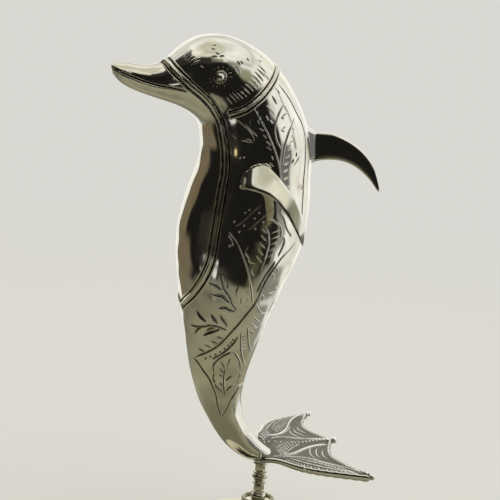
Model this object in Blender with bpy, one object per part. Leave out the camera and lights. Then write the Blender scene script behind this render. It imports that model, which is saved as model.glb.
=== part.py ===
"""Dolphin figurine in polished brass, standing on its tail on a turned stem and a low round base.

Metres, +Z up, origin at the centre of the base's underside. The beak points along -X and the back fin
along +X, so the two flanks face -Y and +Y.
"""
import math

import bmesh
import bpy
from mathutils import Matrix, Vector

# Driving sizes
FIGURE_HEIGHT = 0.280
BASE_RADIUS = 0.052
BASE_HEIGHT = 0.024
FOOT_EDGE = 0.004
BOSS_HEIGHT = 0.003
CLEARANCE = 0.0003

# The turned stem: radius and length of each form, and their order from the foot up
BEAD_RADIUS = 0.0051
BEAD_LENGTH = 0.0042
RING_RADIUS = 0.0048
RING_LENGTH = 0.0018
NECK_RADIUS = 0.0036
NECK_LENGTH = 0.0047
GAP_LENGTH = 0.0012
TURNING = ("bead", "ring", "neck", "ring", "gap", "bead", "ring", "neck")

# The base's crown, with the collar of beads that stands round the stem's foot
COLLAR_BEAD_RADIUS = 0.0014
COLLAR_LEDGE = 0.0047
CROWN_SIDE = 0.0060

# Thicknesses and depths of the figure, and the widths of its chased lines
BACK_FIN_THICKNESS = 0.0056
SIDE_FIN_THICKNESS = 0.0046
FIN_EDGE_THICKNESS = 0.0012
FAN_THICKNESS = 0.0024
FAN_KNOB_RADIUS = 0.0021
EYE_RADIUS = 0.0022
GROOVE_WIDTH = 0.0016
GROOVE_DEPTH = 0.0011
MOUTH_WIDTH = 0.0020
BRIDLE_GAP = 0.0045
COLLAR_GAP = 0.0034

# Fineness of the facets
BODY_ROWS = 34
BODY_COLUMNS = 24
FIN_ROWS = 8
FIN_COLUMNS = 8
FAN_ROWS = 7
FAN_COLUMNS = 20
STEM_SIDES = 16
BASE_SIDES = 32
GROOVE_STEP = 0.012

# Sizes and heights that follow from the driving sizes
COLLAR_REACH = BEAD_RADIUS + COLLAR_LEDGE
CROWN_RADIUS = COLLAR_REACH + COLLAR_BEAD_RADIUS
LENGTHS = {"bead": BEAD_LENGTH, "ring": RING_LENGTH, "neck": NECK_LENGTH, "gap": GAP_LENGTH}
STEM_FOOT = BASE_HEIGHT + CLEARANCE
STEM_TOP = STEM_FOOT + sum(LENGTHS[form] for form in TURNING)
BOSS_FOOT = STEM_TOP + CLEARANCE
SEAT = BOSS_FOOT + BOSS_HEIGHT / 2
SHARE = FIGURE_HEIGHT / 1000

# The body's sections from the beak's tip to the tail's end, in thousandths of the figure's height:
# belly x and z, back x and z above the seat, and half the width
SECTIONS = (
    (-421, 913, -420, 926, 11),
    (-403, 897, -402, 926, 20),
    (-338, 865, -338, 928, 34),
    (-306, 855, -306, 937, 45),
    (-278, 848, -285, 955, 59),
    (-254, 838, -259, 983, 75),
    (-235, 828, -210, 1005, 89),
    (-211, 805, -62, 963, 104),
    (-206, 783, -5, 901, 107),
    (-201, 754, 30, 843, 111),
    (-205, 717, 52, 778, 116),
    (-223, 664, 59, 704, 121),
    (-245, 549, 55, 553, 121),
    (-231, 423, 7, 425, 104),
    (-216, 348, -21, 348, 89),
    (-157, 141, -64, 145, 45),
    (-124, 86, -49, 100, 36),
    (-84, 39, -23, 69, 30),
    (-41, 10, 2, 43, 27),
    (0, -2, 28, 26, 23),
)

# The back fin in the middle plane, in the same shares: front edge x and z, rear edge x and z
BACK_FIN = (
    (20, 820, 30, 708),
    (62, 803, 69, 728),
    (121, 796, 126, 735),
    (188, 764, 179, 721),
    (226, 724, 216, 695),
    (250, 666, 246, 662),
)

# A side fin in its own upright plane: upper edge out and up, lower edge out and up, from its root
SIDE_FIN = (
    (-26, 44, -24, -38),
    (16, 26, 17, -38),
    (72, -11, 64, -50),
    (117, -60, 103, -86),
    (137, -105, 126, -120),
    (140, -143, 137, -144),
)
SIDE_FIN_ROOT = (-121, 711)
SIDE_FIN_INSET = 110
SIDE_FIN_SWEEP = math.radians(45)

# The tail fan's rays, as the share of the way from the middle to the outer edge, and four points of
# x, y and z above the seat: the middle toe's ridge and edge, the web, the outer toe's edge, ridge and rim
FAN_RAYS = (
    (0.00, (-14, 0, 12), (43, 0, 33), (114, 0, 43), (186, 0, 44)),
    (0.20, (-14, 8, 12), (43, 32, 29), (100, 30, 37), (175, 12, 42)),
    (0.45, (-14, 12, 12), (38, 46, 28), (92, 66, 34), (146, 93, 40)),
    (0.68, (-14, 15, 12), (32, 54, 29), (100, 104, 35), (178, 170, 37)),
    (0.85, (-14, 18, 12), (26, 62, 33), (88, 126, 42), (194, 190, 38)),
    (1.00, (-14, 21, 10), (14, 63, 27), (66, 143, 36), (200, 200, 34)),
)
FAN_STATIONS = (0, 0.3, 0.65, 1)
FAN_ROLL = math.radians(3.3)

# Chased lines on the near flank, as thousandths of the way from beak to tail and degrees from the belly
BRIDLE = ((98, 184), (108, 119), (123, 89), (138, 72), (155, 62), (180, 53), (218, 45), (263, 43), (330, 42),
          (394, 47), (454, 50), (512, 51), (555, 50), (592, 42), (622, 28), (655, -3))
COLLAR = ((251, 58), (259, 75), (259, 96), (255, 120), (251, 154), (250, 184))
MOUTH = ((11, 90), (24, 91), (41, 83), (57, 76), (77, 75), (99, 72), (118, 66), (130, 62))
FLANK_LINE = ((266, 86), (295, 87), (326, 90), (353, 94), (404, 102), (466, 107))
BACK_LINE = ((262, 130), (280, 133), (308, 136), (336, 139), (365, 136), (446, 134))
LOW_VINE = ((516, 124), (559, 114), (609, 103), (662, 96), (686, 90), (708, 76), (726, 59), (744, 28))
STALK = ((496, 60), (519, 72), (543, 79), (569, 88), (600, 96), (624, 98))
FLANK_LEAF = (((475, 97), (494, 88), (521, 82), (541, 82), (559, 90), (571, 100)),
              ((473, 99), (484, 106), (506, 113), (529, 114), (551, 110), (568, 101)),
              ((489, 96), (524, 101), (556, 100)))
TAIL_LEAF = (((728, 91), (742, 70), (759, 62), (783, 64), (800, 72), (816, 87)),
             ((726, 89), (746, 108), (768, 120), (790, 120), (805, 107), (814, 90)))
TAIL_POINT = (((754, 18), (772, 42), (794, 58), (824, 68), (864, 67)),
              ((858, 69), (834, 95), (811, 120), (795, 146)))
SINGLE_LINES = (FLANK_LINE, BACK_LINE, LOW_VINE, STALK, *FLANK_LEAF, *TAIL_LEAF, *TAIL_POINT)
EYE = (182, 91)


def smooth_curve(stations, points, place):
    """Returns the point at place on a smooth curve through points, which lie at the given stations."""
    last = len(stations) - 1
    spans = [stations[i + 1] - stations[i] for i in range(last)]
    slopes = [(points[i + 1] - points[i]) / spans[i] for i in range(last)]
    i = 0
    while i < last - 1 and place > stations[i + 1]:
        i += 1

    def tangent(k):
        if k in (0, last):
            return slopes[min(k, last - 1)]
        return (slopes[k - 1] * spans[k] + slopes[k] * spans[k - 1]) / (spans[k - 1] + spans[k])

    t = (place - stations[i]) / spans[i]
    start = points[i] * (2 * t ** 3 - 3 * t ** 2 + 1) + tangent(i) * spans[i] * (t ** 3 - 2 * t ** 2 + t)
    end = points[i + 1] * (3 * t ** 2 - 2 * t ** 3) + tangent(i + 1) * spans[i] * (t ** 3 - t ** 2)
    return start + end


def even_stations(points):
    """Returns each point's share of the way along the straight lines through points."""
    stations = [0.0]
    for a, b in zip(points, points[1:]):
        stations.append(stations[-1] + (b - a).length)
    return [station / stations[-1] for station in stations]


BODY_POINTS = [Vector(section) * SHARE for section in SECTIONS]
BODY_STATIONS = even_stations([Vector((p[0] + p[2], p[1] + p[3])) / 2 for p in BODY_POINTS])


def body_point(way, angle):
    """Returns the point of the body's skin at a share of its length and at degrees from the belly."""
    section = smooth_curve(BODY_STATIONS, BODY_POINTS, way)
    belly = Vector((section[0], 0, section[1] + SEAT))
    back = Vector((section[2], 0, section[3] + SEAT))
    turn = math.radians(angle)
    centre = (belly + back) / 2
    return centre + (belly - back) / 2 * math.cos(turn) + Vector((0, -section[4] * math.sin(turn), 0))


def body_frame(way, angle):
    """Returns the skin's point, and its outward normal there."""
    step = 0.002
    along = body_point(min(way + step, 1), angle) - body_point(max(way - step, 0), angle)
    around = body_point(way, angle + 1) - body_point(way, angle - 1)
    return body_point(way, angle), around.cross(along).normalized()


def loft(bm, rows, columns, place):
    """Adds a closed tube whose skin is place(share along, share around), with both ends capped."""
    grid = bmesh.ops.create_grid(bm, x_segments=columns, y_segments=rows, size=0.5)
    verts = grid["verts"]
    for vert in verts:
        vert.co = place(vert.co.y + 0.5, vert.co.x + 0.5)
    bmesh.ops.remove_doubles(bm, verts=verts, dist=1e-6)
    live = {vert for vert in verts if vert.is_valid}
    rim = [edge for edge in bm.edges if edge.is_boundary and edge.verts[0] in live]
    bmesh.ops.holes_fill(bm, edges=rim, sides=0)


def new_object(name, bm, material=None):
    """Turns the bmesh into an object with its faces outwards."""
    bmesh.ops.recalc_face_normals(bm, faces=bm.faces)
    mesh = bpy.data.meshes.new(name)
    bm.to_mesh(mesh)
    bm.free()
    if material:
        mesh.materials.append(material)
    thing = bpy.data.objects.new(name, mesh)
    bpy.context.collection.objects.link(thing)
    return thing


def combine(thing, tool, operation):
    """Joins the tool, whose shells may cross, to the thing or cuts it out, and removes the tool."""
    modifier = thing.modifiers.new(tool.name, "BOOLEAN")
    modifier.operation = operation
    modifier.object = tool
    modifier.use_self = True
    graph = bpy.context.evaluated_depsgraph_get()
    mesh = bpy.data.meshes.new_from_object(thing.evaluated_get(graph))
    thing.modifiers.remove(modifier)
    thing.data = mesh
    bpy.data.objects.remove(tool, do_unlink=True)


def smooth_shade(thing):
    """Shades the round faces smooth and keeps the creases sharp."""
    thing.data.shade_smooth()
    thing.data.set_sharp_from_angle(angle=math.radians(35))


def metal(name, colour, roughness):
    """Makes a metal of one colour and roughness."""
    material = bpy.data.materials.new(name)
    material.use_nodes = True
    shader = material.node_tree.nodes["Principled BSDF"]
    shader.inputs["Base Color"].default_value = (*colour, 1)
    shader.inputs["Metallic"].default_value = 1
    shader.inputs["Roughness"].default_value = roughness
    return material


def plain_body(material):
    """Lofts the body from the beak's tip to the tail's end, with closer rows towards the beak."""
    def skin(along, around):
        return body_point(along * (0.75 + 0.25 * along), 360 * (around + 0.5 / BODY_COLUMNS))

    bm = bmesh.new()
    loft(bm, BODY_ROWS, BODY_COLUMNS, skin)
    return new_object("dolphin", bm, material)


def blade(bm, edges, root_thickness, frame):
    """Adds a fin between two edges: lens-shaped across, thick at the root and thin at the tip."""
    points = [Vector(edge) * SHARE for edge in edges]
    stations = even_stations([Vector((p[0] + p[2], p[1] + p[3])) / 2 for p in points])

    def skin(along, around):
        section = smooth_curve(stations, points, along)
        front = Vector((section[0], section[1], 0))
        rear = Vector((section[2], section[3], 0))
        half = (root_thickness + (FIN_EDGE_THICKNESS - root_thickness) * along) / 2
        turn = math.tau * around
        flat = (front + rear) / 2 + (front - rear) / 2 * math.cos(turn)
        return frame @ (flat + Vector((0, 0, half * math.sin(turn))))

    loft(bm, FIN_ROWS, FIN_COLUMNS, skin)


def back_fin():
    """Makes the sickle-shaped fin in the middle plane."""
    bm = bmesh.new()
    frame = Matrix.Translation((0, 0, SEAT)) @ Matrix.Rotation(math.radians(90), 4, "X")
    blade(bm, BACK_FIN, BACK_FIN_THICKNESS, frame)
    return new_object("back_fin", bm)


def side_fins():
    """Makes the two fins that sweep out, back and down from the flanks."""
    bm = bmesh.new()
    root_x, root_z = SIDE_FIN_ROOT
    for side in (-1, 1):
        root = Vector((root_x * SHARE, side * SIDE_FIN_INSET * SHARE, root_z * SHARE + SEAT))
        out = Vector((math.sin(SIDE_FIN_SWEEP), side * math.cos(SIDE_FIN_SWEEP), 0))
        up = Vector((0, 0, 1))
        frame = Matrix((out, up, out.cross(up))).transposed().to_4x4()
        frame.translation = root
        blade(bm, SIDE_FIN, SIDE_FIN_THICKNESS, frame)
    return new_object("side_fins", bm)


def fan_point(across, along):
    """Returns the tail fan's middle layer: across from edge to edge (-1 to 1), along from root to tips."""
    line = []
    for ray in FAN_RAYS:
        points = [Vector(point) * SHARE for point in ray[1:]]
        line.append(smooth_curve(FAN_STATIONS, points, along))
    point = smooth_curve([ray[0] for ray in FAN_RAYS], line, abs(across))
    point.y = math.copysign(point.y, -across)
    return Matrix.Rotation(FAN_ROLL, 3, "X") @ point + Vector((0, 0, SEAT))


def tail_fan():
    """Makes the webbed fan of three toes, with a round knob on each toe."""
    bm = bmesh.new()
    grid = bmesh.ops.create_grid(bm, x_segments=FAN_COLUMNS, y_segments=FAN_ROWS, size=0.5)
    for vert in grid["verts"]:
        vert.co = fan_point(vert.co.x * 2, vert.co.y + 0.5) - Vector((0, 0, FAN_THICKNESS / 2))
    bottom = bm.faces[:]
    top = bmesh.ops.extrude_face_region(bm, geom=bottom, use_keep_orig=True)["geom"]
    raised = [part for part in top if isinstance(part, bmesh.types.BMVert)]
    bmesh.ops.translate(bm, verts=raised, vec=(0, 0, FAN_THICKNESS))
    fan = new_object("tail_fan", bm)
    bm = bmesh.new()
    for across in (-1, 0, 1):
        place = Matrix.Translation(fan_point(across, 1))
        bmesh.ops.create_icosphere(bm, subdivisions=1, radius=FAN_KNOB_RADIUS, matrix=place)
    return fan, new_object("fan_knobs", bm)


def eyes():
    """Makes the two round eyes, half sunk in the head."""
    bm = bmesh.new()
    for side in (-1, 1):
        place = Matrix.Translation(body_point(EYE[0] / 1000, side * EYE[1]))
        bmesh.ops.create_icosphere(bm, subdivisions=2, radius=EYE_RADIUS, matrix=place)
    return new_object("eyes", bm)


def seat_boss():
    """Makes the short round boss under the tail that stands on the stem."""
    bm = bmesh.new()
    place = Matrix.Translation((0, 0, BOSS_FOOT + BOSS_HEIGHT / 2))
    bmesh.ops.create_cone(bm, cap_ends=True, segments=STEM_SIDES, radius1=RING_RADIUS,
                          radius2=NECK_RADIUS, depth=BOSS_HEIGHT, matrix=place)
    return new_object("seat_boss", bm)


def line_places(line, side):
    """Returns the skin's point and normal and the line's course at even steps along a chased line."""
    marks = [Vector((way / 1000, side * angle)) for way, angle in line]
    spots = [body_point(*mark) for mark in marks]
    stations = even_stations(spots)
    length = sum((b - a).length for a, b in zip(spots, spots[1:]))
    count = max(4, round(length / GROOVE_STEP))
    places = []
    for k in range(count + 1):
        point, normal = body_frame(*smooth_curve(stations, marks, k / count))
        behind = smooth_curve(stations, marks, max(k / count - 0.01, 0))
        ahead = smooth_curve(stations, marks, min(k / count + 0.01, 1))
        course = (body_point(*ahead) - body_point(*behind)).normalized()
        places.append((point, normal, course))
    return places


def groove(bm, line, side, width, shift=0.0):
    """Adds the three-sided cutter of one V-shaped groove, moved across the line by shift."""
    places = line_places(line, side)

    def skin(along, around):
        point, normal, course = places[round(along * (len(places) - 1))]
        across = course.cross(normal)
        corner = round(around * 3) % 3
        if corner == 0:
            return point + across * shift - normal * GROOVE_DEPTH
        reach = width if corner == 1 else -width
        return point + across * (shift + reach) + normal * GROOVE_DEPTH

    loft(bm, len(places) - 1, 3, skin)


def chasing():
    """Makes the cutter of every chased line, the same on both flanks."""
    bm = bmesh.new()
    for side in (1, -1):
        for shift in (-BRIDLE_GAP / 2, BRIDLE_GAP / 2):
            groove(bm, BRIDLE, side, GROOVE_WIDTH, shift)
        for shift in (-COLLAR_GAP / 2, COLLAR_GAP / 2):
            groove(bm, COLLAR, side, GROOVE_WIDTH, shift)
        groove(bm, MOUTH, side, MOUTH_WIDTH)
        for line in SINGLE_LINES:
            groove(bm, line, side, GROOVE_WIDTH)
    return new_object("chasing", bm)


def dolphin(material):
    """Builds the figure: the body, what is brazed to it, and the lines chased into it."""
    body = plain_body(material)
    for tool in (seat_boss(), back_fin(), side_fins(), *tail_fan(), eyes()):
        combine(body, tool, "UNION")
    combine(body, chasing(), "DIFFERENCE")
    return body


def turned(name, profile, sides, material):
    """Spins a profile of radius and height, from the bottom to the top, into a closed solid."""
    bm = bmesh.new()
    verts = [bm.verts.new((radius, 0, height)) for radius, height in profile]
    edges = [bm.edges.new(pair) for pair in zip(verts, verts[1:])]
    bmesh.ops.spin(bm, geom=verts + edges, axis=(0, 0, 1), cent=(0, 0, 0), angle=math.tau,
                   steps=sides, use_merge=True)
    bmesh.ops.remove_doubles(bm, verts=bm.verts, dist=1e-6)
    return new_object(name, bm, material)


def bulge(foot, length, radius, points=3):
    """Returns the profile of a round swelling of the stem, from its foot up."""
    return [(NECK_RADIUS + (radius - NECK_RADIUS) * math.sin(math.pi * k / points), foot + length * k / points)
            for k in range(1, points)]


def stem(material):
    """Builds the turned stem from its forms, from the foot up."""
    profile = [(0, STEM_FOOT), (RING_RADIUS, STEM_FOOT)]
    foot = STEM_FOOT
    for form in TURNING:
        if form == "bead":
            profile += bulge(foot, BEAD_LENGTH, BEAD_RADIUS)
        if form == "ring":
            profile += bulge(foot, RING_LENGTH, RING_RADIUS)
        foot += LENGTHS[form]
        profile.append((NECK_RADIUS, foot))
    profile.append((0, STEM_TOP))
    return turned("stem", profile, STEM_SIDES, material)


def base(material):
    """Builds the low round base: a foot, a hollow curve up to the crown, and the collar of beads."""
    steps = 4
    shoulder = BASE_HEIGHT - CROWN_SIDE
    rim = BASE_RADIUS - FOOT_EDGE / 2
    profile = [(0, 0), (BASE_RADIUS, 0), (BASE_RADIUS, FOOT_EDGE)]
    for k in range(steps + 1):
        turn = math.pi / 2 * k / steps
        radius = CROWN_RADIUS + (rim - CROWN_RADIUS) * (1 - math.sin(turn))
        profile.append((radius, FOOT_EDGE + (shoulder - FOOT_EDGE) * (1 - math.cos(turn))))
    profile += [(CROWN_RADIUS, BASE_HEIGHT), (0, BASE_HEIGHT)]
    foot = turned("base", profile, BASE_SIDES, material)
    count = round(math.pi * COLLAR_REACH / COLLAR_BEAD_RADIUS)
    bm = bmesh.new()
    for k in range(count):
        turn = Matrix.Rotation(math.tau * k / count, 4, "Z")
        place = turn @ Matrix.Translation((COLLAR_REACH, 0, BASE_HEIGHT))
        bmesh.ops.create_icosphere(bm, subdivisions=1, radius=COLLAR_BEAD_RADIUS, matrix=place)
    combine(foot, new_object("bead_collar", bm), "UNION")
    return foot


def clear_scene():
    """Removes every object that the scene holds."""
    for thing in list(bpy.data.objects):
        bpy.data.objects.remove(thing, do_unlink=True)


clear_scene()
smooth_shade(dolphin(metal("polished brass", (0.66, 0.62, 0.52), 0.16)))
smooth_shade(stem(metal("turned brass", (0.62, 0.57, 0.46), 0.20)))
smooth_shade(base(metal("base brass", (0.60, 0.55, 0.44), 0.25)))
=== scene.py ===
import math

import bmesh
import bpy
import numpy as np
from mathutils import Matrix, Vector
from mathutils.bvhtree import BVHTree
from mathutils.kdtree import KDTree


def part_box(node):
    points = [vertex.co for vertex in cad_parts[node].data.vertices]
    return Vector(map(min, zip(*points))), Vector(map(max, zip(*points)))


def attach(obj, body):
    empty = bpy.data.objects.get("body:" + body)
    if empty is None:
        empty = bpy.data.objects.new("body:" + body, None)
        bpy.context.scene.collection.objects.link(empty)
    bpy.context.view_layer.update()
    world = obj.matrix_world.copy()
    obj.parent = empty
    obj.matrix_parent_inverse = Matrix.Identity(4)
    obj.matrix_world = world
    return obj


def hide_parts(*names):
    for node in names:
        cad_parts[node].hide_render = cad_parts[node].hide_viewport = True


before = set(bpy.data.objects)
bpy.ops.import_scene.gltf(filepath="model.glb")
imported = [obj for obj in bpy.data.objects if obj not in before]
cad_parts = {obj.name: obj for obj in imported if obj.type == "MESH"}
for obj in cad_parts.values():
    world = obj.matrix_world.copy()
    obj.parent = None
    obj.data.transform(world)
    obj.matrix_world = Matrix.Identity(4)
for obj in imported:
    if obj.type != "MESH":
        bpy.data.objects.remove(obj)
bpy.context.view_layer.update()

# Metres, +Z up. The beak points along -X and the back fin along +X, so the flanks face -Y and +Y.
MM = 0.001
FIGURE_HEIGHT = 0.280
SHARE = FIGURE_HEIGHT / 1000
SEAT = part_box("stem")[1].z + 1.8 * MM
SEAM = 2e-6
BACKDROP = "D9D8D2"

# The body's sections from the beak's tip to the tail's end, in thousandths of the figure's height:
# belly x and z, back x and z above the seat, and half the width
SECTIONS = (
    (-421, 911, -420, 930, 12), (-403, 891, -402, 929, 21), (-375, 875, -375, 929, 28),
    (-338, 863, -338, 928, 34), (-306, 855, -306, 937, 45), (-278, 848, -285, 955, 59),
    (-254, 838, -259, 983, 75), (-235, 828, -210, 1005, 89), (-211, 805, -62, 963, 104),
    (-206, 783, -5, 901, 107), (-201, 754, 30, 843, 111), (-205, 717, 52, 778, 116),
    (-223, 664, 59, 704, 121), (-245, 549, 55, 553, 121), (-231, 423, 7, 425, 104),
    (-216, 348, -21, 348, 89), (-157, 141, -64, 145, 45), (-124, 86, -49, 100, 36),
    (-84, 39, -23, 69, 30), (-41, 10, 2, 43, 27), (0, -2, 28, 26, 23),
)

# The back fin in the middle plane, in the same shares: front edge x and z, rear edge x and z
BACK_FIN = (
    (20, 820, 30, 708), (62, 803, 69, 728), (121, 796, 126, 735),
    (188, 764, 179, 721), (226, 724, 216, 695), (250, 666, 246, 662),
)
BACK_FIN_THICKNESS = 5.6 * MM
BACK_FIN_FLARE = 1.3 * MM

# A side fin in its own upright plane: upper edge out and up, lower edge out and up, from its root
SIDE_FIN = (
    (-66, 50, -64, -30), (-26, 56, -24, -36), (16, 30, 17, -38), (72, -11, 64, -50),
    (117, -60, 103, -86), (137, -105, 126, -120), (140, -143, 137, -144),
)
SIDE_FIN_ROOT = (-121, 110, 711)
SIDE_FIN_SWEEP = math.radians(45)
SIDE_FIN_THICKNESS = 4.6 * MM
SIDE_FIN_LEAN = math.radians(39)
SIDE_FIN_SINK = 16 * MM
FIN_EDGE_THICKNESS = 1.2 * MM

# The tail fan's rays: the share of the way from the middle to the outer edge, then four points of
# x, y and z above the seat from the root to the tips
FAN_RAYS = (
    (0.00, (-14, 0, 12), (43, 0, 33), (114, 0, 43), (186, 0, 44)),
    (0.20, (-14, 8, 12), (43, 32, 29), (100, 30, 37), (175, 12, 42)),
    (0.45, (-14, 12, 12), (38, 46, 28), (92, 66, 34), (146, 93, 40)),
    (0.68, (-14, 15, 12), (32, 54, 29), (100, 104, 35), (178, 170, 37)),
    (0.85, (-14, 18, 12), (26, 62, 33), (88, 126, 42), (194, 190, 38)),
    (1.00, (-14, 21, 10), (14, 63, 27), (66, 143, 36), (200, 200, 34)),
)
FAN_STATIONS = (0, 0.3, 0.65, 1)
FAN_ROLL = math.radians(3.3)
FAN_THICKNESS = 2.4 * MM
# How far the far lobe's shoulder is moved and raised, and the knobs: across, along and radius in millimetres
FAR_SHOULDER = (-1.0 * MM, 1.0 * MM, 4.5 * MM)
FAN_KNOBS = ((0.99, 1, 1.9), (0.84, 0.985, 1.5), (0.99, 0.60, 1.5), (0.60, 0.975, 1.3), (0, 1, 2.3),
             (0.03, 0.93, 1.8))

# The stem's forms from the foot up, each form's length and radius in millimetres, and the collar's beads
TURNING = ("bead", "ring", "neck", "ring", "gap", "bead", "ring", "neck")
NECK_RADIUS = 3.6
FORMS = {"bead": (4.2, 5.1), "ring": (1.8, 4.8), "neck": (4.7, NECK_RADIUS), "gap": (1.2, NECK_RADIUS)}
COLLAR_BEADS = 22

# Chased lines of one flank, each a row of places: thousandths of the way from beak to tail, then degrees
# round from the belly
BRIDLE = (98, 184, 108, 119, 123, 89, 138, 72, 155, 62, 180, 53, 218, 45, 263, 43, 330, 42, 394, 47,
          454, 50, 512, 51, 555, 50, 592, 42, 622, 28, 655, -3)
COLLAR = (251, 58, 259, 75, 259, 96, 255, 120, 251, 154, 250, 184)
MOUTH = (18, 88, 24, 87, 32, 85, 45, 82, 59, 79, 77, 75, 99, 71, 118, 66, 130, 62)
LONG_LINES = (
    (266, 86, 295, 87, 326, 90, 353, 94, 404, 102, 466, 107),
    (262, 130, 280, 133, 308, 136, 336, 139, 365, 136, 446, 134, 505, 138),
    (516, 134, 531, 127, 544, 120, 572, 112, 603, 108, 629, 106, 659, 96, 690, 82, 715, 67, 734, 45, 746, 24),
    (551, 112, 566, 109, 581, 106, 610, 103), (696, 94, 704, 92, 716, 86, 726, 78, 734, 70, 742, 60),
    (449, 104, 461, 106, 475, 111, 492, 116, 507, 124),
    (496, 63, 506, 68, 516, 72, 529, 76, 543, 80, 558, 84, 573, 88, 600, 94, 633, 102),
    (485, 68, 474, 74, 459, 80, 447, 86), (492, 79, 481, 84, 470, 89, 460, 94, 452, 98),
    (579, 60, 596, 64, 609, 68, 621, 74, 633, 78, 644, 84),
    (748, 20, 757, 32, 769, 42, 780, 52, 796, 60, 814, 66, 834, 66, 862, 66),
    (795, 146, 798, 128, 809, 119, 824, 104, 841, 91, 862, 68),
    (688, 97, 712, 102, 726, 106, 741, 114, 759, 128), (679, 105, 699, 111, 719, 120, 729, 128),
)
LEAF_LINES = (
    (286, 122, 300, 106, 317, 98, 334, 97, 350, 100), (313, 128, 332, 112, 353, 104, 378, 102),
    (520, 82, 528, 81, 534, 81, 542, 84, 550, 86, 554, 92), (554, 92, 559, 90, 566, 90, 577, 94),
    (485, 94, 500, 98, 515, 100, 539, 100, 566, 99),
    (474, 94, 473, 98, 478, 102, 487, 108, 496, 110, 507, 111),
    (504, 112, 513, 116, 524, 116, 533, 115, 542, 114), (727, 89, 734, 78, 743, 69, 755, 62, 771, 64),
    (771, 64, 781, 62, 789, 66), (791, 66, 799, 70, 804, 76, 809, 85),
    (726, 93, 734, 100, 746, 109, 764, 118), (772, 121, 781, 119, 794, 120),
    (759, 84, 781, 84, 802, 86, 814, 88), (502, 63, 512, 67, 522, 69),
    (684, 20, 684, 32, 681, 45, 677, 54, 678, 62, 681, 70, 684, 76), (688, 49, 683, 54, 681, 60),
    (273, 64, 288, 68, 302, 72, 314, 74, 326, 74), (288, 70, 304, 74, 317, 78),
)
SHORT_STROKES = (
    (127, 133, 135, 140), (132, 134, 140, 139), (128, 126, 138, 133), (131, 122, 141, 126),
    (133, 118, 147, 119), (136, 111, 148, 114), (149, 106, 154, 102), (166, 138, 171, 137),
    (164, 132, 169, 129), (169, 124, 175, 121), (164, 118, 172, 118), (175, 118, 181, 120),
    (199, 118, 205, 114), (203, 120, 208, 117), (194, 109, 200, 106, 206, 102),
    (199, 110, 204, 108, 209, 105), (209, 128, 213, 126), (224, 136, 228, 136), (224, 148, 227, 146),
    (281, 77, 295, 74), (316, 61, 321, 66, 326, 70), (316, 65, 320, 70, 329, 72),
    (301, 53, 311, 56, 324, 54), (275, 100, 284, 102, 294, 104), (289, 94, 298, 94), (299, 96, 306, 98),
    (290, 84, 297, 84), (304, 82, 312, 86), (318, 84, 326, 87), (331, 86, 341, 90), (341, 86, 349, 90),
    (359, 90, 367, 92), (370, 88, 379, 93), (268, 112, 281, 112), (266, 123, 273, 122),
    (301, 120, 303, 110), (303, 110, 306, 113), (319, 112, 321, 105), (321, 105, 325, 108),
    (371, 124, 379, 120, 385, 116), (364, 120, 371, 119), (373, 116, 380, 114), (419, 128, 426, 124),
    (420, 132, 428, 128), (421, 135, 429, 130), (578, 64, 588, 66), (597, 82, 606, 80, 621, 81),
    (617, 86, 633, 88), (591, 69, 603, 70), (744, 74, 751, 78, 760, 84), (758, 74, 764, 78, 770, 84),
    (771, 74, 777, 80), (788, 76, 794, 82), (739, 90, 747, 88, 758, 88), (774, 101, 779, 94, 784, 89),
    (794, 106, 798, 98, 806, 90), (616, 110, 621, 114, 626, 114), (632, 107, 644, 112, 651, 118, 654, 128),
    (659, 110, 666, 116, 670, 123), (671, 110, 679, 116, 681, 122), (686, 112, 694, 120),
    (606, 129, 604, 137), (614, 122, 616, 135), (564, 117, 574, 122), (575, 114, 585, 119),
)
# The broad strokes of the spray below the bridle's end
SPRAY = (
    (596, 50, 599, 55, 603, 60, 607, 64), (617, 54, 619, 60, 621, 66, 626, 70, 630, 74),
    (642, 64, 641, 70, 645, 76, 647, 82), (653, 35, 663, 40, 671, 48), (656, 55, 663, 58, 672, 63),
    (656, 66, 665, 70, 676, 76), (699, 28, 689, 34, 684, 40), (699, 44, 693, 51, 689, 58, 683, 67),
)
# Rows of like strokes: the line that they start on, the line that they end on, and how many there are
HATCHES = (
    ((212, 58, 213, 74, 220, 84, 226, 98, 226, 112, 226, 128),
     (229, 55, 235, 72, 240, 84, 243, 98, 244, 110, 240, 126), 15),
    ((489, 91, 501, 91, 514, 91, 526, 91, 539, 91), (498, 96, 512, 97, 525, 97, 538, 97, 552, 98), 5),
    ((492, 108, 505, 110, 518, 109, 532, 107), (498, 101, 512, 102, 526, 102, 542, 102), 5),
    ((463, 111, 480, 119, 503, 130), (461, 114, 477, 122, 499, 133), 8),
    ((328, 123, 346, 115, 371, 109, 399, 109, 434, 115),
     (331, 119, 348, 111, 374, 105, 401, 105, 436, 111), 10),
    ((699, 64, 708, 56, 717, 46, 728, 34), (701, 72, 712, 65, 720, 56, 730, 45), 4),
    ((698, 99, 720, 105), (697, 107, 719, 114), 4),
    ((701, 89, 714, 82, 729, 68, 741, 50), (704, 87, 717, 80, 732, 65, 745, 46), 8),
    ((604, 152, 640, 152, 690, 150), (609, 160, 646, 160, 696, 158), 7),
)
PECKS = ((459, 74), (483, 75), (470, 83), (489, 85), (495, 72), (522, 66), (519, 68), (477, 91), (454, 77),
         (476, 66), (460, 86), (610, 92), (625, 94), (639, 95), (176, 129), (352, 59), (352, 63))

# The beak is drawn to a ridge: the share of the way where it ends, and how sharp it is at the tip
BEAK_END = 0.105
BEAK_RIDGE = 0.75

EYE = (183, 90)
EYE_RADIUS = 2.4 * MM
EYE_RING = 3.1 * MM
EYE_RAYS = 16

# The bands' lines, how far their two grooves stand from them and half the grooves' width, in millimetres
BANDS = ((BRIDLE, 2.3, 0.78), (COLLAR, 1.7, 0.70))

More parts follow.
